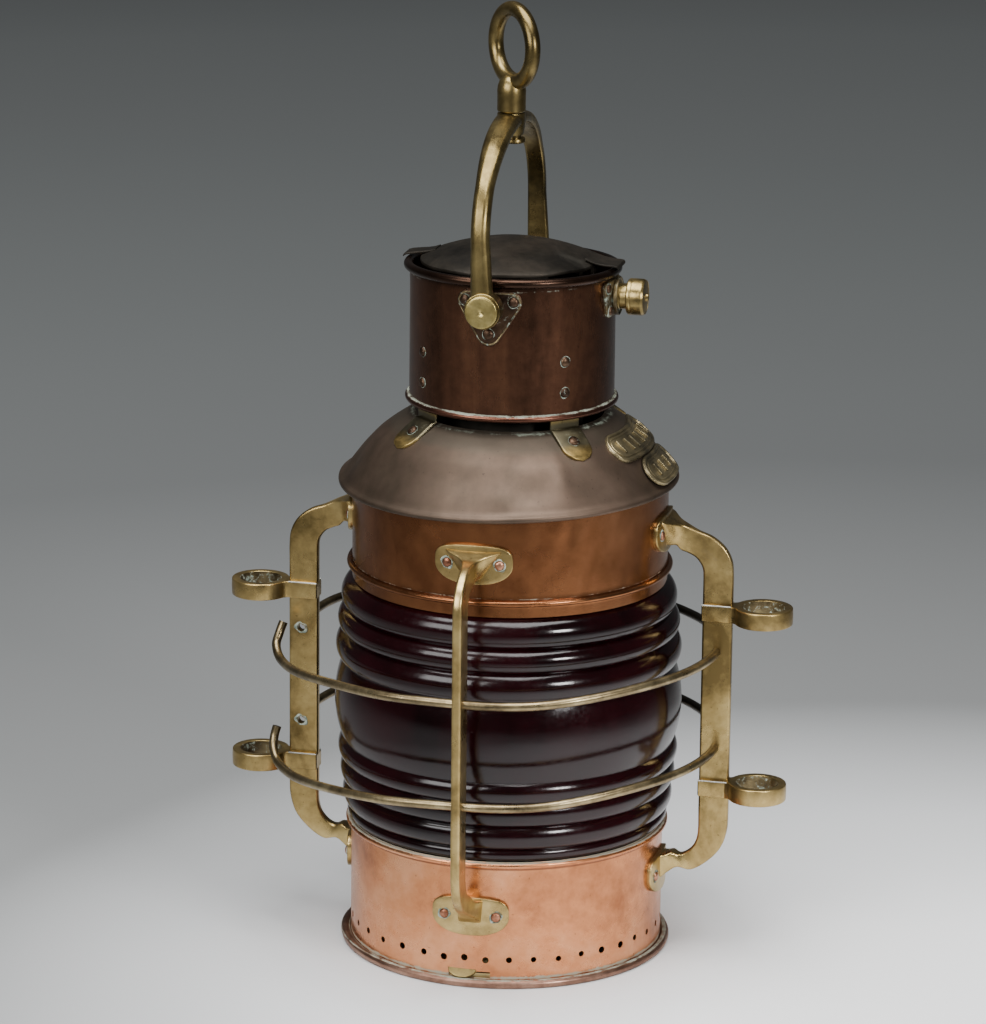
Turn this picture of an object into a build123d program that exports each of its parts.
"""All-round signal lantern with a barrel lens, guard cage, lifting cap and swinging bail."""
import os
from math import cos, radians, sin, sqrt

from build123d import *

# ---- driving dimensions (millimetres) -------------------------------------------------
SHEET = 1.2                 # copper sheet thickness
BAND_R = 104.5              # outer radius of the lower and upper bands
BAND_IN = BAND_R - SHEET
FLANGE_R = 107.55           # centre of the wired base edge
FLANGE_WIRE = 3.0
LOWER_TOP = 86.3
UPPER_BOTTOM = 252.4
UPPER_TOP = 322.0
BEAD_R = 106.0
BEAD_WIRE = 2.0
UPPER_BEAD_Z = 262.3
VENT_COUNT = 40
VENT_START = 274.2          # angle of the first air hole
VENT_Z = 18.6
VENT_D = 4.2
LUG_SLOT_DEG = 8.3          # half angle of the bayonet window in the lower band
LENS_NECK = 101.5
LENS_BOTTOM = 80.0
LENS_TOP = 262.0
DOME_EDGE_R = 110.4
DOME_EDGE_WIRE = 2.2
CHIMNEY_R = 67.4
CHIMNEY_IN = CHIMNEY_R - SHEET
CHIMNEY_BOTTOM = 373.5
CHIMNEY_TOP = 465.0
RIM_R = 68.4
RIM_WIRE = 3.0
RIM_Z = 463.5
RIM_TOP = RIM_Z + RIM_WIRE
PIVOT_Z = 450.5
PIN_R = 6.0
BAIL_Y = 83.5               # centre of each bail arm from the lantern axis
BAIL_SHOULDER = 495.0
BAIL_RISE = 62.0
BOSS_BOTTOM = 547.0
BOSS_TOP = 567.0
SHANK_R = 4.5
RING_MEAN = 23.7
RING_WIRE = 5.0
RING_Z = 609.0
RING_TURN = 43.0            # rest angle of the ring plane from the bail plane
LATCH_Z = 446.0
NECK_R = 8.5
CAP_R = 57.3
CAP_SPHERE = 117.0
CAP_SPHERE_Z = 365.0
FLUE_R = 47.2
BAR_THICK = 6.0
FOOT_T = 3.0
FOOT_HALF_W = 25.5
FOOT_HALF_H = 13.5
FAN_HALF = 13.2             # half width of the cast fan where an arm meets its foot
FAN_TIP = 13.5
FOOT_Z = {"front": (288.4, 49.2), "right": (291.0, 55.5), "back": (288.4, 49.2), "left": (291.0, 55.5)}
FOOT_RIVET_DEG = 9.3        # each foot rivet from the middle of its plate
ROD_RING = 141.0
ROD_R = 3.0
ROD_UPPER_Z = 206.0
ROD_LOWER_Z = 139.5
EYE_OUT = 19.5
EYE_IN = 14.0
EYE_H = 11.4
EYES = {"right_upper": (171.5, 237.0), "right_lower": (171.5, 115.7),
        "left_upper": (-171.5, 231.8), "left_lower": (-171.5, 111.7)}
TRAY_R = 93.95
FONT_R = 62.0
WINDER_Y = 6.5
WINDER_Z = 59.5
RUN = 0.05                  # radial running clearance

os.makedirs("parts", exist_ok=True)


# ---- helpers ----------------------------------------------------------------------------
def save(piece, label):
    """Label a finished piece and write its STEP file."""
    piece.part.label = label
    export_step(piece.part, f"parts/{label}.step")


def radial(angle, r, z):
    """Plane at radius r and height z whose normal points outward."""
    c, s = cos(radians(angle)), sin(radians(angle))
    return Plane(origin=(r * c, r * s, z), x_dir=(-s, c, 0), z_dir=(c, s, 0))


def upright(angle):
    """Plane through the axis: local x is radial, local y is up."""
    c, s = cos(radians(angle)), sin(radians(angle))
    return Plane(origin=(0, 0, 0), x_dir=(c, s, 0), z_dir=(s, -c, 0))


def turned(points):
    """Revolve a closed outline of (radius, height) points."""
    with BuildPart() as shape:
        with BuildSketch(Plane.XZ):
            with BuildLine():
                Polyline(*points, close=True)
            make_face()
        revolve(axis=Axis.Z)
    return shape.part


def shell(inner, outer, z0, z1):
    """Plain ring between two radii."""
    return turned([(inner, z0), (outer, z0), (outer, z1), (inner, z1)])


def wire_ring(radius, wire, z):
    """Round wire bent to a ring about the axis."""
    with BuildPart() as shape:
        with BuildSketch(Plane.XZ):
            with Locations((radius, z)):
                Circle(wire)
        revolve(axis=Axis.Z)
    return shape.part


def make_rivet(head_r, head_h, shank_r, grip, clench_r=2.8, clench_h=1.0):
    """Domed rivet: local z = 0 is the outer surface it sits on."""
    dome_z = (head_h * head_h - head_r * head_r) / (2 * head_h)
    dome_r = head_h - dome_z
    half = head_r / 2
    with BuildPart() as rivet:
        with BuildSketch(Plane.XZ):
            with BuildLine():
                Line((0, -grip - clench_h), (clench_r, -grip - clench_h))
                Line((clench_r, -grip - clench_h), (clench_r, -grip))
                Line((clench_r, -grip), (shank_r, -grip))
                Line((shank_r, -grip), (shank_r, 0))
                Line((shank_r, 0), (head_r, 0))
                ThreePointArc((head_r, 0), (half, dome_z + sqrt(dome_r * dome_r - half * half)), (0, head_h))
                Line((0, head_h), (0, -grip - clench_h))
            make_face()
        revolve(axis=Axis.Z)
    return rivet.part


def rivet_set(label, rivet, planes):
    """Identical rivets kept together as separate solids."""
    with BuildPart() as rivets:
        with Locations(*planes):
            add(rivet)
    save(rivets, label)


BAR_ANGLES = {"front": 270, "right": 0, "back": 90, "left": 180}
FOOT_RIVETS = [(angle + turn, z) for side, angle in BAR_ANGLES.items() for turn in (-FOOT_RIVET_DEG, FOOT_RIVET_DEG)
               for z in FOOT_Z[side]]
STRAP_ANGLES = {"front_right": 315, "back_right": 45, "back_left": 135, "front_left": 225}

# ---- base flange and lower band ---------------------------------------------------------
with BuildPart() as base_flange:
    add(shell(99.0, FLANGE_R, 2.0, 4.0))
    add(wire_ring(FLANGE_R, FLANGE_WIRE, FLANGE_WIRE - 0.4))
    with Locations((0, 0, -5)):
        Box(300, 300, 10, mode=Mode.SUBTRACT)
save(base_flange, "base_flange")

with BuildPart() as lower_band:
    add(shell(BAND_IN, BAND_R, 4.0, LOWER_TOP))
    add(wire_ring(BEAD_R, BEAD_WIRE, LOWER_TOP - 2.0))
    vents = [radial(VENT_START + i * 360 / VENT_COUNT, BAND_R, VENT_Z) for i in range(VENT_COUNT)]
    with Locations(*vents):
        Cylinder(VENT_D / 2, 8, mode=Mode.SUBTRACT)
    rivet_holes = [radial(a, BAND_R, z) for a, z in FOOT_RIVETS if z < LOWER_TOP]
    with Locations(*rivet_holes):
        Cylinder(2, 8, mode=Mode.SUBTRACT)
    slot_half = BAND_R * sin(radians(LUG_SLOT_DEG))
    with BuildSketch(radial(270, 90, 0)):
        with Locations((0, 11.75)):
            Rectangle(2 * slot_half, 6.5)
    extrude(amount=20, mode=Mode.SUBTRACT)
save(lower_band, "lower_band")

# ---- bayonet ring under the burner tray ---------------------------------------------------
LUG_ANGLES = (266.5, 26.5, 146.5)
with BuildPart() as bayonet_ring:
    add(shell(TRAY_R + RUN, BAND_IN, 6.5, 8.5))
    add(shell(101.3, BAND_IN, 4.0, 6.5))
    for lug in LUG_ANGLES:
        with BuildSketch(radial(lug + LUG_SLOT_DEG + 0.2, 90, 0)):
            with Locations((0, 7.5)):
                Rectangle(11, 3)
        extrude(amount=11, mode=Mode.SUBTRACT)
save(bayonet_ring, "bayonet_ring")

# ---- burner tray with its bayonet lugs ----------------------------------------------------
with BuildPart() as burner_tray:
    add(shell(TRAY_R - 1.5, TRAY_R, 3.0, 16.0))
    with BuildSketch(Plane.XY.offset(3.0)):
        Circle(TRAY_R)
    extrude(amount=1.5)
    for lug in LUG_ANGLES:
        reach = 106.4 if lug == LUG_ANGLES[0] else 101.0
        with BuildSketch(radial(lug, TRAY_R - 1.0, 0)):
            with Locations((0, 10.8)):
                RectangleRounded(8.6, 4.4, 1.0)
        extrude(amount=reach - TRAY_R + 1.0)
save(burner_tray, "burner_tray")

with BuildPart() as oil_font:
    with BuildSketch(Plane.XZ):
        with BuildLine():
            Polyline((0, 4.5), (FONT_R, 4.5), (FONT_R, 38), (FONT_R - 8, 44), (21, 46), (0, 46), close=True)
        make_face()
        with BuildLine():
            Polyline((0, 6), (FONT_R - 1.5, 6), (FONT_R - 1.5, 37), (FONT_R - 8.6, 42.4), (0, 44.5), close=True)
        make_face(mode=Mode.SUBTRACT)
    revolve(axis=Axis.Z)
    with Locations((-42, 0, 42)):
        Cylinder(8, 9, align=(Align.CENTER, Align.CENTER, Align.MIN))
save(oil_font, "oil_font")

with BuildPart() as filler_cap:
    with Locations((-42, 0, 51)):
        Cylinder(10.5, 5, align=(Align.CENTER, Align.CENTER, Align.MIN))
    fillet(filler_cap.edges().group_by(Axis.Z)[-1], 1.2)
save(filler_cap, "filler_cap")

# ---- burner, gallery, wick, winder and lamp glass -------------------------------------------
with BuildPart() as burner:
    add(turned([(0, 46), (21, 46), (21, 50), (17, 52), (17, 67), (15, 68.5), (0, 68.5)]))
    with BuildSketch(Plane.XY.offset(50)):
        Rectangle(21, 4.1)
    extrude(amount=20, mode=Mode.SUBTRACT)
    with Locations((0, WINDER_Y, WINDER_Z)):
        Box(7.4, 2 * (WINDER_Y - 2.05) + 0.4, 9.6, mode=Mode.SUBTRACT)
    with BuildSketch(Plane.YZ):
        with Locations((WINDER_Y, WINDER_Z)):
            Circle(1.5 + RUN)
    extrude(amount=25, both=True, mode=Mode.SUBTRACT)
save(burner, "burner")

with BuildPart() as glass_gallery:
    add(shell(17.0, 27.0, 63.0, 64.5))
    add(shell(25.8, 27.0, 64.5, 72.0))
    with PolarLocations(21.0, 12):
        Cylinder(1.5, 200, mode=Mode.SUBTRACT)
    for i in range(4):
        with BuildSketch(radial(45 + 90 * i, 24, 0)):
            with Locations((0, 70.5)):
                Rectangle(26, 8)
        extrude(amount=6, mode=Mode.SUBTRACT)
save(glass_gallery, "glass_gallery")

with BuildPart() as wick:
    with BuildSketch(Plane.XY.offset(51)):
        Rectangle(20, 4.0)
    extrude(amount=21)
save(wick, "wick")

with BuildPart() as winder_shaft:
    with BuildSketch(Plane.YZ.offset(-6.0)):
        with Locations((WINDER_Y, WINDER_Z)):
            Circle(1.5)
    extrude(amount=50)
save(winder_shaft, "winder_shaft")

with BuildPart() as spur_wheel:
    with BuildSketch(Plane.YZ.offset(-3.0)):
        with Locations((WINDER_Y, WINDER_Z)):
            Circle(4.4)
            Circle(1.5, mode=Mode.SUBTRACT)
            with PolarLocations(4.7, 12):
                Circle(0.7, mode=Mode.SUBTRACT)
    extrude(amount=6)
save(spur_wheel, "spur_wheel")

with BuildPart() as winder_knob:
    with BuildSketch(Plane.YZ.offset(44.0)):
        with Locations((WINDER_Y, WINDER_Z)):
            Circle(7)
            with PolarLocations(7.6, 18):
                Circle(1.0, mode=Mode.SUBTRACT)
    extrude(amount=4)
save(winder_knob, "winder_knob")

with BuildPart() as lamp_glass:
    with BuildSketch(Plane.XZ):
        with BuildLine():
            Line((22.6, 64.5), (24.6, 64.5))
            Line((24.6, 64.5), (24.6, 78))
            Spline((24.6, 78), (31, 100), (22, 135), (19, 190), tangents=((0.2, 1), (0, 1)))
            Line((19, 190), (17.2, 190))
            Spline((17.2, 190), (20.2, 135), (29.2, 100), (22.6, 78), tangents=((0, -1), (-0.2, -1)))
            Line((22.6, 78), (22.6, 64.5))
        make_face()
    revolve(axis=Axis.Z)
save(lamp_glass, "lamp_glass")

# ---- lens between its seats -----------------------------------------------------------------
with BuildPart() as lower_seat:
    add(shell(96.0, BAND_IN, 74.0, 76.0))
    add(shell(BAND_IN - SHEET, BAND_IN, 67.0, 74.0))
save(lower_seat, "lower_seat")

with BuildPart() as lower_gasket:
    add(shell(95.5, 102.8, 76.0, LENS_BOTTOM))
save(lower_gasket, "lower_gasket")

LENS_LOBES = [
    ((102.4, 86.9), (107.2, 91.0)),
    ((105.6, 95.0), (110.4, 103.0)),
    ((107.6, 111.0), (112.0, 119.0)),
    ((109.0, 127.0), (113.5, 134.5)),
    ((110.6, 142.0), (115.8, 169.0)),
    ((110.8, 196.0), (115.2, 206.0)),
    ((110.0, 216.0), (113.8, 224.0)),
    ((108.2, 232.0), (111.6, 241.0)),
]
LENS_LAST = (102.6, UPPER_BOTTOM)
with BuildPart() as lens:
    with BuildSketch(Plane.XZ):
        with BuildLine():
            ends = [lobe[0] for lobe in LENS_LOBES[1:]] + [LENS_LAST]
            for (start, crest), end in zip(LENS_LOBES, ends):
                ThreePointArc(start, crest, end)
            Polyline(LENS_LAST, (LENS_NECK, UPPER_BOTTOM + 1), (LENS_NECK, LENS_TOP), (95.5, LENS_TOP))
            ThreePointArc((95.5, LENS_TOP), (101.0, 171.0), (95.5, LENS_BOTTOM))
            Polyline((95.5, LENS_BOTTOM), (LENS_NECK, LENS_BOTTOM), (LENS_NECK, 85.9), (102.4, 86.9))
        make_face()
    revolve(axis=Axis.Z)
save(lens, "lens")

with BuildPart() as upper_gasket:
    add(shell(95.5, 102.8, LENS_TOP, 266.0))
save(upper_gasket, "upper_gasket")

with BuildPart() as upper_seat:
    add(shell(96.0, BAND_IN, 266.0, 268.0))
    add(shell(BAND_IN - SHEET, BAND_IN, 268.0, 276.0))
save(upper_seat, "upper_seat")

# ---- upper band and dome ------------------------------------------------------------------------
with BuildPart() as upper_band:
    add(shell(BAND_IN, BAND_R, UPPER_BOTTOM, UPPER_TOP))
    add(wire_ring(BEAD_R, BEAD_WIRE, UPPER_BEAD_Z))
    with Locations(*[radial(a, BAND_R, z) for a, z in FOOT_RIVETS if z > UPPER_BOTTOM]):
        Cylinder(2, 8, mode=Mode.SUBTRACT)
save(upper_band, "upper_band")

CONE_LOW = (111.0, 323.9)
CONE_MID = (88.0, 348.5)
CONE_TOP = (66.0, 364.5)
DOME_RIVET_R = 74.5
DOME_RIVET_Z = CONE_MID[1] + (CONE_MID[0] - DOME_RIVET_R) * 16.0 / 22.0
CONE_N = (16.0 / sqrt(740.0), 22.0 / sqrt(740.0))


def dome_plane(angle, r, z, rise):
    """Plane on the upper dome cone, raised along its normal."""
    c, s = cos(radians(angle)), sin(radians(angle))
    nr, nz = CONE_N
    rr = r + nr * rise
    return Plane(origin=(rr * c, rr * s, z + nz * rise), x_dir=(-s, c, 0), z_dir=(nr * c, nr * s, nz))


with BuildPart() as dome:
    add(turned([CONE_LOW, CONE_MID, CONE_TOP, (62.0, 365.5), (62.0, 364.2), (65.8, 363.2), (87.5, 347.2),
                (109.6, 322.8)]))
    add(wire_ring(DOME_EDGE_R, DOME_EDGE_WIRE, 322.0))
    add(shell(BAND_IN - SHEET, BAND_IN, 310.0, 330.5))
    with Locations(*[dome_plane(a, DOME_RIVET_R, DOME_RIVET_Z, 0) for a in STRAP_ANGLES.values()]):
        Cylinder(2, 8, mode=Mode.SUBTRACT)
save(dome, "dome")

PLATE_LOBES = ((84.0, 22.0, 18.0), (100.0, 11.0, 17.0))     # bend radius, half angle, height

with BuildPart() as maker_plate:
    add(turned([(107.0, 328.20), (88.0, 348.52), (74.0, 358.71), (74.9, 359.9), (89.0, 349.65), (108.1, 329.2)]))
    with BuildSketch(Plane.XY.offset(300)):
        for bend, half_turn, height in PLATE_LOBES:
            SlotArc(CenterArc((0, 0), bend, -half_turn, 2 * half_turn, mode=Mode.PRIVATE), height)
    extrude(amount=100, mode=Mode.INTERSECT)
save(maker_plate, "maker_plate")

# ---- chimney with its straps ---------------------------------------------------------------------
TRUNNION_RIVETS = [(13.3, 453.0), (-13.3, 453.0), (0.0, 431.5)]
LATCH_RIVETS = [(10.8, 455.0), (-10.8, 455.0), (10.8, 436.0), (-10.8, 436.0)]
STRAP_RIVET_Z = (391.0, 411.5)

with BuildPart() as chimney:
    add(shell(CHIMNEY_IN, CHIMNEY_R, CHIMNEY_BOTTOM, CHIMNEY_TOP))
    add(wire_ring(68.0, 1.7, 375.0))
    add(wire_ring(RIM_R, RIM_WIRE, RIM_Z))
    holes = [radial(a, CHIMNEY_R, z) for a in STRAP_ANGLES.values() for z in STRAP_RIVET_Z]
    holes += [radial(270 + d, CHIMNEY_R, z) for d, z in TRUNNION_RIVETS]
    holes += [radial(90 + d, CHIMNEY_R, z) for d, z in TRUNNION_RIVETS]
    holes += [radial(d, CHIMNEY_R, z) for d, z in LATCH_RIVETS]
    with Locations(*holes):
        Cylinder(2, 8, mode=Mode.SUBTRACT)
    with Locations(radial(270, CHIMNEY_R, PIVOT_Z), radial(90, CHIMNEY_R, PIVOT_Z)):
        Cylinder(PIN_R, 12, mode=Mode.SUBTRACT)
    with Locations(radial(0, CHIMNEY_R, LATCH_Z)):
        Cylinder(11, 12, mode=Mode.SUBTRACT)
save(chimney, "chimney")


def chimney_strap(label, angle):
    """Brass strap from the dome up inside the chimney."""
    with BuildPart() as strap:
        add(turned([(87.0, 349.23), CONE_TOP, (64.2, 364.95), (64.2, 418.0), (CHIMNEY_IN, 418.0),
                    (CHIMNEY_IN, 366.82), (88.18, 350.85)]))
        with BuildSketch(Plane.XY.offset(300).rotated((0, 0, angle))):
            with Locations((66.0, 0)):
                Rectangle(22, 22)
            with Locations((76.5, 0)):
                Circle(11)
        extrude(amount=200, mode=Mode.INTERSECT)
        with Locations(dome_plane(angle, DOME_RIVET_R, DOME_RIVET_Z, 1)):
            Cylinder(2, 8, mode=Mode.SUBTRACT)
        with Locations(*[radial(angle, CHIMNEY_IN, z) for z in STRAP_RIVET_Z]):
            Cylinder(2, 8, mode=Mode.SUBTRACT)
    save(strap, label)


for side, angle in STRAP_ANGLES.items():
    chimney_strap(f"strap_{side}", angle)

rivet_set("strap_rivets", make_rivet(3.3, 1.8, 2.0, 3.26),
          [radial(a, CHIMNEY_R, z) for a in STRAP_ANGLES.values() for z in STRAP_RIVET_Z])
rivet_set("dome_rivets", make_rivet(3.8, 1.8, 2.0, 3.35),
          [dome_plane(a, DOME_RIVET_R, DOME_RIVET_Z, 2.0) for a in STRAP_ANGLES.values()])

# ---- trunnions and pins ---------------------------------------------------------------------------
TRUNNION_R = CHIMNEY_R + 2.5
BOSS_END = 77.9


def trunnion(label, angle):
    """Riveted plate with the boss that carries a bail pin."""
    with BuildPart() as plate:
        add(shell(CHIMNEY_R, TRUNNION_R, 415.0, RIM_Z - RIM_WIRE - 0.2))
        with BuildSketch(radial(angle, 50, 0)):
            with Locations((-14.2, 453.0), (14.2, 453.0)):
                Circle(7.2)
            with Locations((0, 431.0)):
                Circle(7.6)
            make_hull()
        extrude(amount=30, mode=Mode.INTERSECT)
        with Locations(*[radial(angle + d, TRUNNION_R, z) for d, z in TRUNNION_RIVETS]):
            Cylinder(2, 12, mode=Mode.SUBTRACT)
    with BuildPart() as boss:
        with BuildSketch(radial(angle, 64, 0)):
            with Locations((0, PIVOT_Z)):
                Circle(8.5)
        extrude(amount=BOSS_END - 64)
        Cylinder(CHIMNEY_R, 1000, mode=Mode.SUBTRACT)
    with BuildPart() as whole:
        add(plate.part)
        add(boss.part)
        with Locations(radial(angle, TRUNNION_R, PIVOT_Z)):
            Cylinder(PIN_R, 60, mode=Mode.SUBTRACT)
    save(whole, label)


def bail_pin(label, angle):
    """Turn the pin outline about its own axis and set it on the pivot line."""
    sign = -1 if angle == 270 else 1
    with BuildPart() as pin:
        with BuildSketch(Plane.XY.offset(PIVOT_Z)):
            with BuildLine():
                Polyline((0, sign * 63.5), (9, sign * 63.5), (9, sign * 65.5), (PIN_R, sign * 65.5),
                         (PIN_R, sign * 89.2), (11, sign * 89.2), (11, sign * 91.6), (10.2, sign * 92.4),
                         (0, sign * 92.4), close=True)
            make_face()
        revolve(axis=Axis((0, 0, PIVOT_Z), (0, 1, 0)))
    save(pin, label)


trunnion("trunnion_front", 270)
trunnion("trunnion_back", 90)
bail_pin("bail_pin_front", 270)
bail_pin("bail_pin_back", 90)
rivet_set("trunnion_rivets", make_rivet(3.5, 2.0, 2.0, 3.76),
          [radial(a + d, TRUNNION_R, z) for a in (270, 90) for d, z in TRUNNION_RIVETS])

# ---- latch ------------------------------------------------------------------------------------------
LATCH_R = CHIMNEY_R + 2.0
with BuildPart() as latch_plate:
    add(shell(CHIMNEY_R, LATCH_R, 425.0, RIM_Z - RIM_WIRE - 0.2))
    with BuildSketch(radial(0, 50, 0)):
        with Locations((13.0, 455.0), (-13.0, 455.0), (13.0, 436.0), (-13.0, 436.0)):
            Circle(4.8)
        make_hull()
    extrude(amount=30, mode=Mode.INTERSECT)
    with Locations(*[radial(d, LATCH_R, z) for d, z in LATCH_RIVETS]):
        Cylinder(2, 12, mode=Mode.SUBTRACT)
    with Locations(radial(0, LATCH_R, LATCH_Z)):
        Cylinder(11, 12, mode=Mode.SUBTRACT)
save(latch_plate, "latch_plate")
rivet_set("latch_rivets", make_rivet(3.2, 1.8, 2.0, 3.26), [radial(d, LATCH_R, z) for d, z in LATCH_RIVETS])

with BuildPart() as latch_barrel:
    with BuildSketch(radial(0, 60, LATCH_Z)):
        Circle(12)
    extrude(amount=11)
    Cylinder(LATCH_R, 1000, mode=Mode.SUBTRACT)
    with BuildSketch(radial(0, 60, LATCH_Z)):
        Circle(11)
    extrude(amount=11)
    with BuildSketch(radial(0, 60, LATCH_Z)):
        Circle(NECK_R + RUN)
    extrude(amount=11, mode=Mode.SUBTRACT)
save(latch_barrel, "latch_barrel")

with BuildPart() as latch_knob:
    with BuildSketch(radial(0, 64, LATCH_Z)):
        Circle(NECK_R)
    extrude(amount=13.2)
    with BuildSketch(radial(0, 77.2, LATCH_Z)):
        Circle(12)
    extrude(amount=11.9)
    chamfer(latch_knob.faces().sort_by(Axis.X)[-1].edges(), 1.0)
    with BuildSketch(radial(0, 89.1, LATCH_Z)):
        Circle(2.6)
    extrude(amount=1.5)
save(latch_knob, "latch_knob")

with BuildPart() as latch_bolt:
    with BuildSketch(radial(0, 57, LATCH_Z)):
        Circle(4)
    extrude(amount=7)
save(latch_bolt, "latch_bolt")

# ---- cap unit -----------------------------------------------------------------------------------------
def on_sphere(radius, r):
    """Height of the cap sphere at radius r."""
    return CAP_SPHERE_Z + sqrt(radius * radius - r * r)


INNER_SPHERE = CAP_SPHERE - SHEET
with BuildPart() as cap_dome:
    with BuildSketch(Plane.XZ):
        with BuildLine():
            Line((0, on_sphere(INNER_SPHERE, 0)), (0, on_sphere(CAP_SPHERE, 0)))
            ThreePointArc((0, on_sphere(CAP_SPHERE, 0)), (30, on_sphere(CAP_SPHERE, 30)),
                          (CAP_R, on_sphere(CAP_SPHERE, CAP_R)))
            Polyline((CAP_R, on_sphere(CAP_SPHERE, CAP_R)), (CAP_R, 463.5), (CAP_R - SHEET, 463.5),
                     (CAP_R - SHEET, on_sphere(INNER_SPHERE, CAP_R - SHEET)))
            ThreePointArc((CAP_R - SHEET, on_sphere(INNER_SPHERE, CAP_R - SHEET)),
                          (30, on_sphere(INNER_SPHERE, 30)), (0, on_sphere(INNER_SPHERE, 0)))
        make_face()
    revolve(axis=Axis.Z)
save(cap_dome, "cap_dome")


def cap_tongue(label, sign, width):
    """Strip from the cap edge that rests on the chimney rim."""
    with BuildPart() as tongue:
        with BuildSketch(Plane.XY.offset(RIM_TOP)):
            with Locations((sign * 59.5, 0)):
                Rectangle(25, width)
        extrude(amount=1.6)
        with Locations((0, 0, CAP_SPHERE_Z)):
            Sphere(CAP_SPHERE, mode=Mode.SUBTRACT)
    save(tongue, label)


cap_tongue("cap_tongue_right", 1, 24)
cap_tongue("cap_tongue_left", -1, 15)

with BuildPart() as cap_keeper:
    with Locations((54.5, 0, 447.5)):
        Box(2, 16, 45)
    with Locations((0, 0, CAP_SPHERE_Z)):
        Sphere(INNER_SPHERE, mode=Mode.INTERSECT)
    with Locations(radial(0, 54.5, LATCH_Z)):
        Cylinder(4.6, 8, mode=Mode.SUBTRACT)
save(cap_keeper, "cap_keeper")

with BuildPart() as inner_flue:
    top_out = on_sphere(INNER_SPHERE, FLUE_R)
    top_in = on_sphere(INNER_SPHERE, FLUE_R - SHEET)
    add(turned([(FLUE_R - SHEET, 335), (FLUE_R, 335), (FLUE_R, top_out), (FLUE_R - SHEET, top_in)]))
    add(wire_ring(FLUE_R + 0.6, 1.6, 336.6))
    for i in range(6):
        with BuildSketch(radial(30 + 60 * i, 40, 0)):
            with Locations((0, 459)):
                Rectangle(30, 13)
        extrude(amount=12, mode=Mode.SUBTRACT)
save(inner_flue, "inner_flue")

# ---- bail and hanging ring ---------------------------------------------------------------------------
with BuildPart() as bail:
    with BuildLine() as arch:
        Line((0, -BAIL_Y, PIVOT_Z + 7.5), (0, -BAIL_Y, BAIL_SHOULDER))
        Spline(*[(0, -BAIL_Y * cos(radians(t)), BAIL_SHOULDER + BAIL_RISE * sin(radians(t)))
                 for t in range(0, 91, 15)], tangents=((0, 0, 1), (0, 1, 0)))
    with BuildSketch(Plane.XY.offset(PIVOT_Z + 7.5)):
        with Locations((0, -BAIL_Y)):
            RectangleRounded(11.4, 8.6, 3.4)
    sweep(path=arch.wire())
    mirror(about=Plane.XZ)
    with BuildSketch(Plane.XY.offset(BOSS_BOTTOM)):
        Circle(10)
    extrude(amount=BOSS_TOP - BOSS_BOTTOM)
    for side in (270, 90):
        with BuildSketch(radial(side, 78.0, PIVOT_Z)):
            Circle(12)
        extrude(amount=11)
        with BuildSketch(radial(side, 70.0, PIVOT_Z)):
            Circle(PIN_R + RUN)
        extrude(amount=25, mode=Mode.SUBTRACT)
    with BuildSketch(Plane.XY.offset(500)):
        Circle(SHANK_R + RUN)
    extrude(amount=100, mode=Mode.SUBTRACT)
save(bail, "bail")

with BuildPart() as hanging_ring:
    add(turned([(0, 545.5), (SHANK_R, 545.5), (SHANK_R, BOSS_TOP + 0.1), (8.5, BOSS_TOP + 0.1), (8.5, 581.0),
                (5.2, 588.0), (0, 588.0)]))
    across = Plane(origin=(0, 0, RING_Z), z_dir=(cos(radians(RING_TURN)), sin(radians(RING_TURN)), 0))
    with Locations(across):
        Torus(RING_MEAN, RING_WIRE)
save(hanging_ring, "hanging_ring")

with BuildPart() as ring_nut:
    add(turned([(0, 543.0), (3.0, 543.0), (4.0, 543.6), (7.0, 543.6), (7.0, 546.9), (SHANK_R, 546.9),
                (SHANK_R, 545.5), (0, 545.5)]))
save(ring_nut, "ring_nut")


# ---- guard bars, rods and guide eyes -----------------------------------------------------------------
def bar_outline(top, low):
    """Side view of one guard bar with both arms, running into feet at two heights."""
    Polyline((107.0, top + 8.1), (112.0, top + 6.2), (127.0, top + 2.2), (137.0, 288.0))
    ThreePointArc((137.0, 288.0), (147.0, 279.0), (151.0, 265.0))
    Line((151.0, 265.0), (151.0, 96.0))
    ThreePointArc((151.0, 96.0), (147.5, 76.0), (137.0, 63.0))
    Polyline((137.0, 63.0), (127.0, 56.5), (116.0, low + 2.0), (107.0, low - 5.2), (106.0, low - 5.2),
             (106.0, low + 10.0), (112.0, low + 12.0), (122.0, 71.5))
    ThreePointArc((122.0, 71.5), (128.5, 75.0), (131.0, 84.0))
    Line((131.0, 84.0), (131.0, 262.0))
    ThreePointArc((131.0, 262.0), (128.0, 272.0), (119.0, 276.8))
    Polyline((119.0, 276.8), (112.0, top - 10.0), (106.0, top - 10.0), (106.0, top + 8.1), (107.0, top + 8.1))


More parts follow.
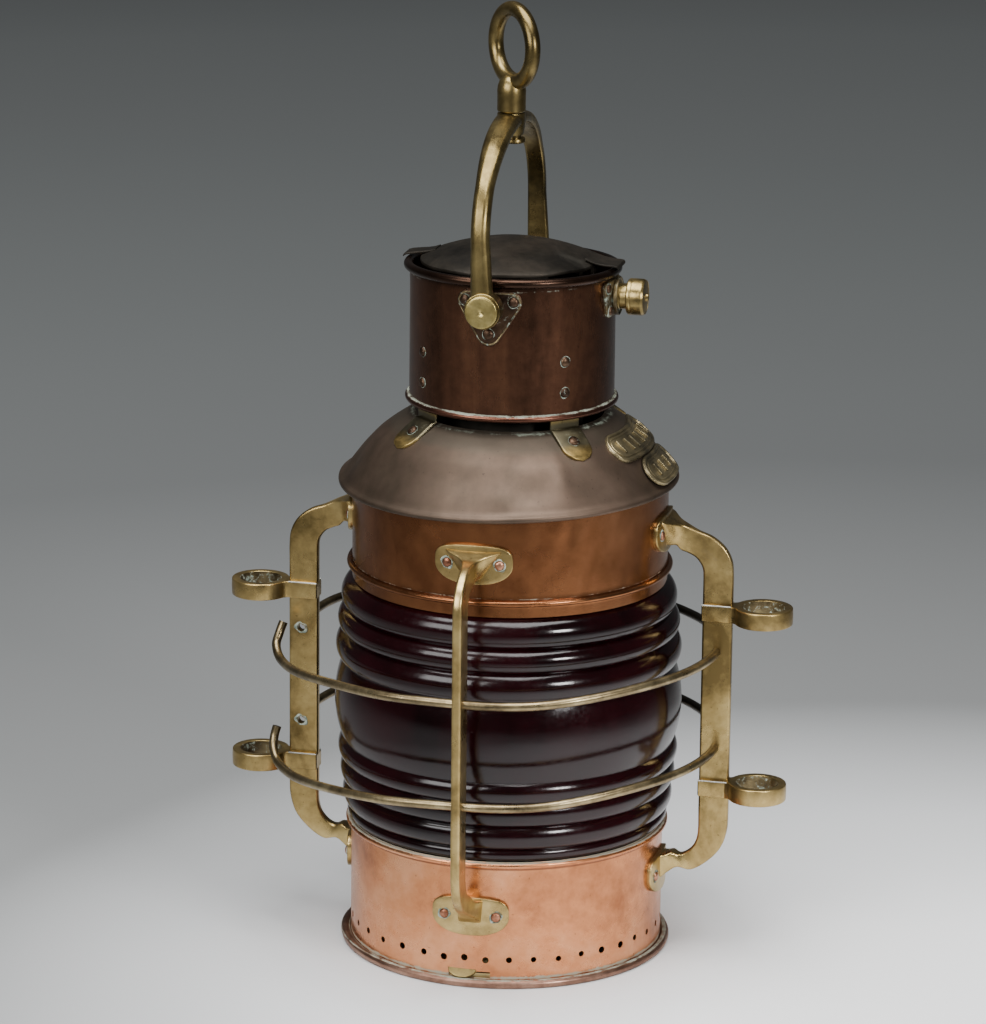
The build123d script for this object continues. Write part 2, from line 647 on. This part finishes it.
def guard_bar(label, angle, top, low):
    """One guard bar: flat bar, two arms, two riveted foot plates."""
    with BuildPart() as bar:
        with BuildSketch(upright(angle)):
            with BuildLine():
                bar_outline(top, low)
            make_face()
        extrude(amount=BAR_THICK / 2, both=True)
        for root_z, tip_z in ((top - 1.4, 284.5), (low + 2.4, 62.5)):
            with BuildSketch(radial(angle, 106.0, root_z)):
                Ellipse(FAN_HALF, 8.0)
            with BuildSketch(radial(angle, 121.0, tip_z)):
                Rectangle(BAR_THICK, FAN_TIP)
            loft()
        for z in (top, low):
            with BuildSketch(radial(angle, 90.0, z)):
                Ellipse(FOOT_HALF_W, FOOT_HALF_H)
            extrude(amount=15.2)
        Cylinder(BAND_R, 1000, mode=Mode.SUBTRACT)
    with BuildPart() as plates:
        add(shell(BAND_R, BAND_R + FOOT_T, 30.0, 310.0))
        with BuildSketch(radial(angle, 90.0, 0)):
            with Locations((0, top), (0, low)):
                Ellipse(FOOT_HALF_W, FOOT_HALF_H)
        extrude(amount=30, mode=Mode.INTERSECT)
    with BuildPart() as whole:
        add(bar.part)
        add(plates.part)
        turns = (-FOOT_RIVET_DEG, FOOT_RIVET_DEG)
        with Locations(*[radial(angle + turn, BAND_R, z) for turn in turns for z in (top, low)]):
            Cylinder(2, 14, mode=Mode.SUBTRACT)
        c, s = cos(radians(angle)), sin(radians(angle))
        for z in (ROD_UPPER_Z, ROD_LOWER_Z):
            with Locations(Plane(origin=(ROD_RING * c, ROD_RING * s, z), z_dir=(-s, c, 0))):
                Cylinder(ROD_R + 0.04, 14, mode=Mode.SUBTRACT)
    save(whole, label)


for side, angle in BAR_ANGLES.items():
    guard_bar(f"guard_bar_{side}", angle, *FOOT_Z[side])

rivet_set("guard_rivets", make_rivet(3.4, 2.0, 2.0, 4.25),
          [radial(a, BAND_R + FOOT_T, z) for a, z in FOOT_RIVETS])


def guard_rod(label, z, tail):
    """Long rod round three quarters of the cage; the last quarter is sprung outward."""
    half = ROD_RING * sqrt(0.5)
    with BuildPart() as rod:
        with BuildLine() as run:
            ThreePointArc((-ROD_RING, 0, z), (-half, half, z), (0, ROD_RING, z))
            ThreePointArc((0, ROD_RING, z), (half, half, z), (ROD_RING, 0, z))
            ThreePointArc((ROD_RING, 0, z), (half, -half, z), (0, -ROD_RING, z))
            Spline((0, -ROD_RING, z), *tail, tangents=((-1, 0, 0), (0.1, 0.2, 1)))
        with BuildSketch(Plane(origin=(-ROD_RING, 0, z), z_dir=(0, 1, 0))):
            Circle(ROD_R)
        sweep(path=run.wire())
    save(rod, label)


guard_rod("guard_rod_upper", ROD_UPPER_Z,
          [(-50, -132, 203), (-92, -107, 200), (-126, -70, 194), (-146, -38, 192), (-154, -25, 199),
           (-153, -19, 206), (-151, -17, 213)])
guard_rod("guard_rod_lower", ROD_LOWER_Z,
          [(-50, -132, 134), (-92, -108, 129), (-126, -71, 121), (-147, -38, 118), (-155, -26, 125),
           (-157, -21, 132), (-155, -19, 140)])


def guide_eye(label, x, z):
    """Vertical guide eye on a fork that straddles the guard bar."""
    side = 1 if x > 0 else -1
    with BuildPart() as eye:
        with BuildSketch(Plane.XY.offset(z - EYE_H / 2)):
            with Locations((x, 0)):
                Circle(EYE_OUT)
            with Locations((side * 145.5, 0)):
                Rectangle(29, 12.4)
            with Locations((side * 141, 0)):
                Rectangle(20.001, BAR_THICK, mode=Mode.SUBTRACT)
            with Locations((x, 0)):
                Circle(EYE_IN, mode=Mode.SUBTRACT)
        extrude(amount=EYE_H)
    save(eye, label)


for place, (eye_x, eye_z) in EYES.items():
    guide_eye(f"guide_eye_{place}", eye_x, eye_z)
